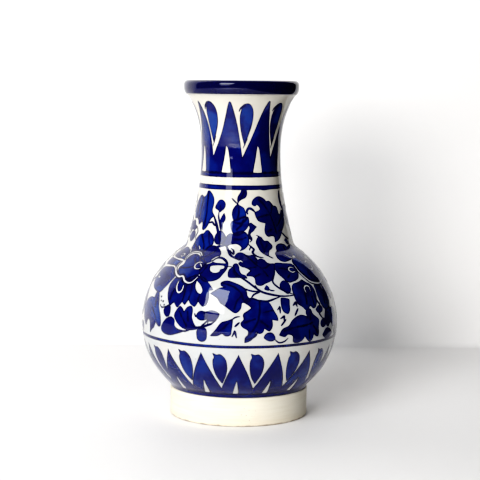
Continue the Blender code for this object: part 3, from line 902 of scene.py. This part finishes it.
# ---------------------------------------------------------------------------------------------- leaves
# Broad lobed leaves fill the space between the flowers and climb the shoulder. They were brushed on dark,
# and the lobes are parted by a second stroke.
leaf_step = 0.85
leaves = [
    # oak leaf between the flowers
    (0.15, [(-5, 56), (-4, 60), (-2, 63), (1, 63.6), (4, 62), (6, 60), (9, 59.2), (12, 60.2), (14, 57),
            (15.5, 53.5), (18, 55), (21, 53.5), (22.5, 50.4), (25, 49.2), (28.4, 48.8), (28, 45), (26, 41),
            (24, 37), (21, 34), (17, 32.4), (14, 31), (11, 32), (10.6, 36), (9, 38), (5, 38.4), (5.4, 40),
            (8, 42.8), (5, 45.4), (1, 47), (-1, 50), (1, 52), (-2, 54)]),
    # long leaf under the main stem
    (0.35, [(-12, 33), (-8, 34.2), (-3, 32.6), (2, 30), (4, 27.6), (4.6, 24), (6, 22), (4, 20), (1.4, 20),
            (0.6, 16.4), (-2, 14), (-5, 15.4), (-8, 17.6), (-11.4, 19.6), (-13, 22), (-15.6, 23.8), (-18, 25),
            (-16, 26.6), (-12.6, 28.8), (-9, 29.6), (-12, 31)]),
    # star leaf below the middle
    (0.45, [(5, 22), (8, 22.6), (12, 21), (17, 20), (18.6, 18), (20, 15), (22, 11), (22.2, 9.2), (18.6, 10),
            (18.6, 6), (17, 3.6), (14, 5.2), (13, 3), (11, 2.4), (9.4, 3.4), (8, 0.4), (6, -1.6), (3.2, -2.6),
            (3.5, 0), (5, 1.6), (5, 4), (2, 6), (1, 8), (2.6, 10), (2.4, 13), (5, 15), (7, 16.6), (6, 18),
            (3, 20)]),
    # low leaf under the right flower
    (0.40, [(23, 1), (25, 4), (29, 5.6), (31, 8), (34, 10), (38, 11), (43, 9.4), (42, 12), (43, 14),
            (46, 13.6), (47, 11), (50, 8.6), (52, 7), (51.2, 3), (51.5, 0), (51, -2), (49, -1.6), (47, 0),
            (46, -3), (44, -4.2), (42, -3), (40, -0.8), (38, -3), (35, -4), (32, -3.4), (31.5, 0), (28, 1.2),
            (26.5, 0)]),
    # leaf at the left edge
    (0.65, [(-74, 14), (-68, 17.5), (-63, 18), (-62.6, 21), (-60, 22), (-57, 18), (-55, 13), (-52, 8),
            (-51, 3), (-53, 2.4), (-56, 4.4), (-58, 1), (-60, 0), (-62.4, -2.4), (-63, 3.6), (-66, 5),
            (-69, 1), (-72, 3), (-75, 8)]),
    # heart and leaf-heart under the left flower
    (0.25, [(-39, 13), (-37, 15.6), (-35, 14.4), (-33.5, 12.4), (-31.5, 15.6), (-29, 16.2), (-28, 14),
            (-28, 10), (-26, 6), (-24, 4), (-29, 3), (-34, 4), (-38, 7), (-40, 10)]),
    (0.50, [(-16, 0.7), (-13, 4), (-10, 8), (-7, 9), (-4, 10.2), (-4, 8), (-4.5, 4), (-5, 1.5), (-7.5, 1),
            (-9.5, 2.2), (-12, 1)]),
    # leaf on the left of the shoulder
    (0.70, [(-51, 130), (-49, 135), (-46, 135.6), (-43, 134), (-39, 130), (-36.4, 125), (-36, 118),
            (-37, 112), (-36, 108), (-33, 104), (-37, 101), (-39, 97), (-41, 92), (-44, 88), (-47, 86.4),
            (-49, 88), (-49.4, 92), (-51, 96), (-54, 94), (-57, 92), (-60, 97), (-64, 99.4), (-70, 99),
            (-75, 112), (-66, 127), (-61, 129), (-56, 127)]),
    # leaf on the right of the shoulder
    (0.20, [(15, 119), (15, 123), (17, 126), (21, 129), (25, 129.6), (29, 128), (33, 125.4), (35, 123),
            (39, 123.2), (43, 120.6), (46, 117), (50, 116), (53, 113), (54, 109), (55, 105), (58, 106),
            (61, 109.6), (64, 110), (66, 108), (66, 100), (64, 95), (60, 90), (56, 86), (52, 81),
            (47, 76.4), (41, 74), (41, 80), (37, 81), (33, 80.6), (30, 83), (29, 88), (31, 96), (27, 97),
            (22, 99), (20, 102), (18.4, 106), (18, 109.4), (22, 111), (25, 113), (24.4, 116), (21, 119),
            (19, 117.4)]),
    # triple leaf up the middle of the shoulder
    (0.85, [(-4, 119), (0, 117.6), (4, 115), (6, 111), (7, 107), (6.6, 101), (0, 96.6), (-6, 97.6), (-9, 102),
            (-10, 109), (-8, 115)]),
    (0.75, [(-4, 100), (3, 103), (9, 104), (10.4, 99), (10, 95), (8, 91), (4, 87), (-2, 83.6), (-8, 85),
            (-11, 93), (-10, 98)]),
    (0.60, [(-6, 84), (0, 86), (5, 86.4), (8.4, 83), (9.6, 79), (9.5, 74.6), (7, 70), (4, 67.4), (0, 65.4),
            (1.6, 69.4), (-3, 73), (-9, 72.6), (-15, 70.6), (-20, 73), (-22, 77), (-16, 80), (-12, 84)]),
    (0.40, [(-27, 73), (-29, 78), (-27, 84), (-23, 87), (-19, 85), (-16, 80), (-18, 75), (-22, 72)]),
    # leaves and petals that fill the sides
    (0.70, [(-74, 76), (-70, 82), (-63, 84), (-60, 79), (-63, 74), (-68, 72)]),
    (0.55, [(-66, 95), (-70, 96.5), (-76, 93), (-79, 86), (-76, 80), (-71, 85), (-65, 88)]),
    (0.55, [(59, 6), (61, 12), (65, 16), (68, 12), (73, 12), (77, 8), (75, 2), (70, 1), (66, 4), (62, 2)]),
    (0.45, [(66, 106), (69, 115), (75, 116), (81, 108), (83, 98), (79, 90), (73, 93), (70, 101)]),
    (0.50, [(85, 13), (88, 18), (94, 19), (97, 23), (101, 20), (104, 14), (102, 8), (97, 5), (94, 9),
            (89, 7)]),
    (0.60, [(90, 63), (93, 69), (99, 72), (103, 66), (101, 59), (96, 61), (93, 56)]),
    (0.50, [(86, 88), (88, 97), (93, 103), (99, 101), (103, 93), (100, 84), (95, 88), (91, 81)]),
    (0.40, [(86, 118), (88, 127), (94, 131), (101, 127), (103, 118), (97, 120), (93, 112)]),
]
leaf_bare = [(1.0, [(-3.4, 55.8), (-0.4, 53.4), (2.4, 51.2)])]
leaf_veins = [
    [(4, 61), (8, 56), (12, 50), (17, 44), (20, 38)], [(14, 56), (14, 50)], [(24, 48), (20, 45), (16, 45)],
    [(6, 45), (12, 46)], [(11, 38), (15, 40)],
    [(-11, 32.5), (-5, 30.6), (0, 27), (2, 22)], [(-3, 16), (-1.4, 21), (1, 24)],
    [(12, 20), (11.6, 14), (10, 8), (6, 2)], [(19, 15), (14, 14)], [(3, 8.4), (9, 10.4)],
    [(16, 6), (12.4, 9)],
    [(26, 3), (33, 4.6), (40, 5), (46, 6)], [(45.6, 12.6), (44.6, 8)], [(50.4, 0), (47, 4)],
    [(44, -3), (43.4, 2)],
    [(-66, 14), (-60, 10), (-56, 6)], [(-61, 19), (-59, 13)], [(-47, 133), (-47, 120), (-46, 106), (-46, 92)],
    [(-56, 126), (-58, 112), (-58, 98)], [(-64, 122), (-66, 110), (-64, 102)],
    [(24, 126), (31, 119), (37, 110), (42, 98), (45, 84)], [(44, 118), (41, 108)],
    [(64, 106), (56, 99), (48, 92)],
    [(22, 103), (30, 105), (37, 106)], [(55, 87), (50, 86)], [(32, 86), (38, 88)],
    [(-2, 116), (-2, 108), (-4, 101)], [(4, 100), (1, 94), (-4, 89)], [(6, 80), (1, 78), (-6, 78)],
    [(-37, 13), (-34, 9), (-31, 5)], [(-31, 13), (-30, 8)], [(-6, 8), (-9, 5), (-13, 2)],
]
painted_twice("leaves", fills_of(leaves, leaf_step), strokes_of(leaf_bare, 0.6),
              [brushed(line, 0.6, closed=False) for line in leaf_veins], leaf_step, 0.00010)


# ------------------------------------------------------------------------------------------------ buds
# Small buds, hearts and dots are touched in with the tip of the brush, wherever the flowers and leaves
# leave a gap. A few of the larger ones have a darker line down the middle.
buds = [
    (0.40, [(-49.5, 12), (-47, 9), (-44.5, 9.4), (-44, 13), (-45, 15.2), (-48, 14)]),
    (0.35, [(-50, 2), (-47, 6.6), (-43, 8.8), (-40, 7.6), (-39.4, 4.2), (-37, 2.6), (-33, 1.8), (-38, 0),
            (-43, -1.2), (-48.4, -0.4)]),
    (0.30, [(-25, 11), (-23.5, 13.6), (-20, 13.6), (-18.8, 12), (-19.3, 9.6), (-22.8, 9.2)]),
    (0.40, [(-20, 13.4), (-15.4, 14.6), (-11.6, 13), (-13.4, 9.6), (-18, 9)]),
    (0.50, [(-24, 0), (-24, 3), (-22, 4.6), (-19, 4.2), (-18.4, 1), (-19, -1.8), (-21.4, -2.8),
            (-23.4, -1.8)]),
    (0.25, [(-8, 38), (-8, 43), (-5.6, 46), (-4.6, 49), (-2.6, 49.6), (-1, 47), (-0.4, 43), (1, 40),
            (4, 38.4), (5, 36.4), (0, 37), (-7, 37)]),
    (0.30, [(14, 0), (15.4, 2), (18, 2.4), (19.6, 1), (20.2, -1), (18.6, -2), (16, -1.6)]),
    (0.20, [(27, 29), (28, 32), (31, 33.6), (33.6, 32), (34.2, 28), (33, 25.4), (31, 24.8), (28.4, 27)]),
    (0.45, [(26, 22), (25.4, 17.4), (26.5, 14), (29, 12.8), (30.2, 14.5), (30.6, 18), (31, 21)]),
    (0.30, [(51, 13), (54, 14.8), (57, 14.2), (57, 12), (53, 11)]),
    (0.30, [(54, 5), (57, 7.2), (60, 5.4), (58.4, 3), (55, 2.8)]),
    (0.40, [(56, -2), (60, 1), (64, 0.2), (68, -2.2), (64, -4.4), (59, -4.2)]),
    (0.50, [(72, -1), (76, 1), (80, -1), (78, -4), (74, -4)]),
    (0.30, [(21, 81), (24, 79), (27, 76), (31, 75.6), (34, 73), (36, 70), (34, 67), (31, 65.4), (28, 60),
            (27, 57.4), (24, 60), (21, 65), (19, 70), (17.4, 74), (18.4, 78)]),
    (0.20, [(10, 95), (12.4, 96.8), (15, 95), (19, 92), (17, 90), (15, 87.4), (12, 85), (11, 82), (11, 79),
            (12.5, 77), (9.6, 79.6), (9, 84), (10, 88), (11, 91)]),
    (0.35, [(-33, 115), (-31, 120), (-28, 124), (-24, 124.6), (-20.4, 122), (-19, 118), (-20.4, 114),
            (-24, 110.4), (-26, 109), (-28, 111), (-32, 113.4)]),
    (0.60, [(-20, 108), (-23, 103), (-24.4, 98), (-23, 92), (-20.6, 88), (-20.4, 95), (-18, 102)]),
    (0.25, [(-3.4, 120), (-4, 126), (-3, 130), (0, 135), (2, 139), (7, 139.4), (8.4, 135), (8, 131),
            (6, 128), (2, 126), (-1, 124), (-3, 121)]),
    (0.40, [(57, 75), (60, 76.4), (63, 74.4), (64.4, 70), (61, 70.6)]),
    (0.60, [(-69, 90), (-63, 91), (-60, 88), (-64, 85), (-70, 86)]),
    (0.40, [(92, 36), (94, 41), (98, 42), (101, 38), (97, 34)]),
    (0.40, [(86, -1), (89, 3), (93, 2), (95, -2), (90, -3.6)]),
    (0.40, [(100, -1), (103, 2), (106, 0), (105, -3)]),
    (0.50, [(84, 74), (86, 79), (90, 77), (88, 72)]),
    (0.30, [(16, 28.4), (17.6, 30.8), (19, 29), (18.4, 27.4)]),
]
bud_veins = [[(-2, 122), (1, 128), (5, 136)], [(-25, 111), (-26, 117)], [(24, 62), (27, 68), (30, 72)],
             [(22, 78), (24, 72), (26, 64)], [(-4.4, 47), (-4, 41), (-2, 38)]]
painted_twice("buds", fills_of(buds, 0.7), (), [brushed(line, 0.6, closed=False) for line in bud_veins],
              0.7, 0.00014)


# ----------------------------------------------------------------------------------------------- stems
# Thin stems and tendrils tie the flowers, leaves and buds together. They were drawn last with a fine brush,
# and each thins out where the brush came down and where it lifted off.
stems = [
    (1.5, [(-11, 46.4), (-6, 46), (-2, 40), (0, 38), (5, 34), (10, 29.6), (14, 26.6), (20, 24.6), (28, 23.2),
           (36.5, 23.4)]),
    (1.2, [(1, 30), (5, 28), (9, 27), (13, 27)]),
    (1.2, [(7, 22.6), (9, 25), (13, 26.6)]),
    (1.3, [(7, 22.6), (12, 21), (17, 20.6), (22, 22), (26, 23.2)]),
    (1.2, [(10, 31.4), (11, 29), (13, 27)]),
    (1.3, [(28, 47), (26, 41), (23.4, 36), (22.6, 33), (25, 29.6), (30, 26), (35, 24)]),
    (2.6, [(-20, 73), (-15, 71), (-12, 66), (-9, 60), (-5, 56.4), (0, 53.6)]),
    (2.8, [(-28, 67), (-22, 70), (-16, 71)]),
    (1.0, [(18.4, 28.6), (20, 27.4), (22.6, 27)]),
    (2.2, [(-9.6, 68.4), (-6.6, 66), (-6, 61), (-8.4, 63.4), (-10.2, 66.4)]),
    (1.4, [(-28, 6), (-25, 4.8), (-21, 5.2), (-18, 6.4), (-15.6, 7.4), (-13, 9.6)]),
    (1.0, [(-38, 2.6), (-32, 2), (-27, 4)]),
    (1.1, [(-23, 4), (-20, 7), (-17.4, 9.4), (-18, 7)]),
    (0.9, [(-4.4, 9.8), (-2, 11.4), (0.4, 11.8)]),
    (0.9, [(-54.4, 15), (-52, 13.4), (-48, 14.4), (-45.6, 16.2)]),
    (0.9, [(-26.4, 12.6), (-25.4, 10.4)]),
    (1.2, [(-2.6, 6), (0.2, 8.6)]),
    (1.3, [(-4, 0.4), (-2.4, 3.6), (-1.4, -0.2)]),
    (1.5, [(33, 17), (35.4, 18.8), (36, 16)]),
    (1.3, [(33.4, 11), (36.4, 15.2)]),
    (1.2, [(22.4, 15), (24.2, 17), (24, 13)]),
    (1.3, [(23.8, 10), (26.4, 11.4), (26, 8.6)]),
    (1.1, [(24, 6), (27.4, 9.6)]),
    (1.0, [(20, -1), (22.6, -3.2), (26, -2.8), (28.4, -1)]),
    (1.1, [(3.6, -1), (6, -0.6), (9, 1), (10.4, 3.4)]),
    (1.4, [(54, 25), (52.6, 20), (55.6, 15), (53.4, 11), (56.6, 7)]),
    (2.2, [(11.6, 89), (10.6, 83), (12.6, 78), (10.6, 75)]),
    (1.5, [(18, 82.6), (21, 81), (25, 78.8)]),
    (1.5, [(26.4, 59), (28, 57), (30.4, 54.8)]),
    (2.4, [(8.8, 73), (11.6, 70), (14.2, 67), (12.6, 64), (14, 60), (17.6, 57), (21.4, 56)]),
    (1.6, [(12.6, 70.8), (10.4, 68.4), (9.6, 66)]),
    (3.4, [(-34, 105), (-29, 95), (-26, 87), (-23, 78), (-21, 73)]),
    (2.6, [(-39.4, 95), (-35, 96.4), (-31, 93), (-28.4, 92.4)]),
    (2.2, [(-27, 110.6), (-27, 104), (-25, 97), (-23, 90), (-21, 84)]),
    (1.9, [(-11.4, 127.4), (-7, 123), (-3.6, 120)]),
    (2.4, [(-4, 121), (-3, 118)]),
    (3.2, [(9.4, 107), (8, 110), (9.6, 113.8), (12.6, 114.2), (16, 112), (18.6, 109)]),
    (4.2, [(63, 136), (61.6, 126), (64, 117), (68, 109)]),
    (2.0, [(54, 84), (60, 79), (67, 75.4)]),
    (1.4, [(-60, 90), (-56, 84), (-58, 78), (-56, 73)]),
    (1.6, [(80, 100), (84, 88), (90, 79), (98, 75), (104, 78)]),
    (1.4, [(76, 4), (82, 3), (88, 6.6), (96, 5)]),
    (1.4, [(86, 30), (92, 26), (98, 27), (104, 31)]),
    (1.6, [(78, 112), (84, 115), (90, 114), (96, 108), (104, 106)]),
    (1.4, [(94, 34), (96, 29), (98, 23)]),
    (1.4, [(85, 66), (90, 58), (97, 54), (103, 50)]),
]
stem_dots = [[(-52.7, 17.4), (-51.6, 17.6), (-51.4, 16.5), (-52.5, 16.2)],
             [(-50.8, 15.4), (-49.8, 15.6), (-49.7, 14.6), (-50.7, 14.4)],
             [(-55.6, 20), (-54.6, 20.1), (-54.6, 19), (-55.6, 18.9)],
             [(-54.6, 17.6), (-53.7, 17.6), (-53.7, 16.7), (-54.6, 16.7)]]
stem_fills = [(outline, 0.35) for outline in strokes_of(stems, 0.6)]
stem_fills += [(brushed(dot, 0.4), 0.0) for dot in stem_dots]
painted_twice("stems", stem_fills, (), (), 0.7, 0.00016)


# --------------------------------------------------------------------------------------- shoulder line
# One line of cobalt closes the shoulder. It was banded by hand as the vase turned, and its end slips a
# little under its start.
painted("shoulder_line", [(banding(138.4, 144.2, 0.35, 28, 2.0), 0.6)], step=2.0)


# ----------------------------------------------------------------------------------------- neck frieze
# Eight tall flames stand on a band just under the neck's waist and reach up the flare, each with a white
# slit left bare. They are the foot frieze's flames again, drawn out longer with the same brush.
neck_flame_count = 8
neck_slit = [(-15, 162.4), (-2.4, 162.2), (-3.4, 175), (-6.6, 196), (-9, 199), (-11.5, 182)]
neck_flames, neck_slits = flame_row(
    neck_flame_count, front=-12.0, base=155.0, band=161.5, valley=(-31.0, 183.0), peak=(0, 261.0), tip=1.6,
    shoulder=((-15.6, 218.0), (8.8, 222.0)), slit=neck_slit, sway=2.0, wash=0.35, step=1.5)
painted("neck_frieze", neck_flames, neck_slits, step=1.5)


# ------------------------------------------------------------------------------------------ neck drops
# A long drop of cobalt fills each space between the tall flames. A hooked flick at its head shows where
# the brush came in, and a thin tail where it left.
neck_drops = []
for i in range(neck_flame_count):
    turn = 5.5 - 180 + 360 / neck_flame_count * i + hand.uniform(-1.5, 1.5)
    top = 258.5 + hand.uniform(-3, 0.5)
    drop = brushed([(turn + x, top + y) for x, y in (
        (-4.5, -2.5), (-1, 0.3), (3.5, 0), (7.8, -7), (8.8, -18), (7.2, -30), (3.4, -42), (-0.6, -55),
        (-3.8, -44), (-6.4, -30), (-7, -16), (-5.4, -8))], 1.3)
    neck_drops.append((fuller(drop, 0.8), 0.8))
    hook = [(turn - 8.6, top - 9.5), (turn - 6.4, top - 4.4), (turn - 2, top - 0.6)]
    tail = [(turn + 3, top - 46), (turn - 0.4, top - 54), (turn - 3, top - 60)]
    neck_drops.append((stroke(hook, 1.9, 1.0, (0.5, 1)), 0.0))
    neck_drops.append((stroke(tail, 1.4, 1.0, (1, 0.4)), 0.0))
painted("neck_drops", neck_drops, step=1.3, lift=0.00012)
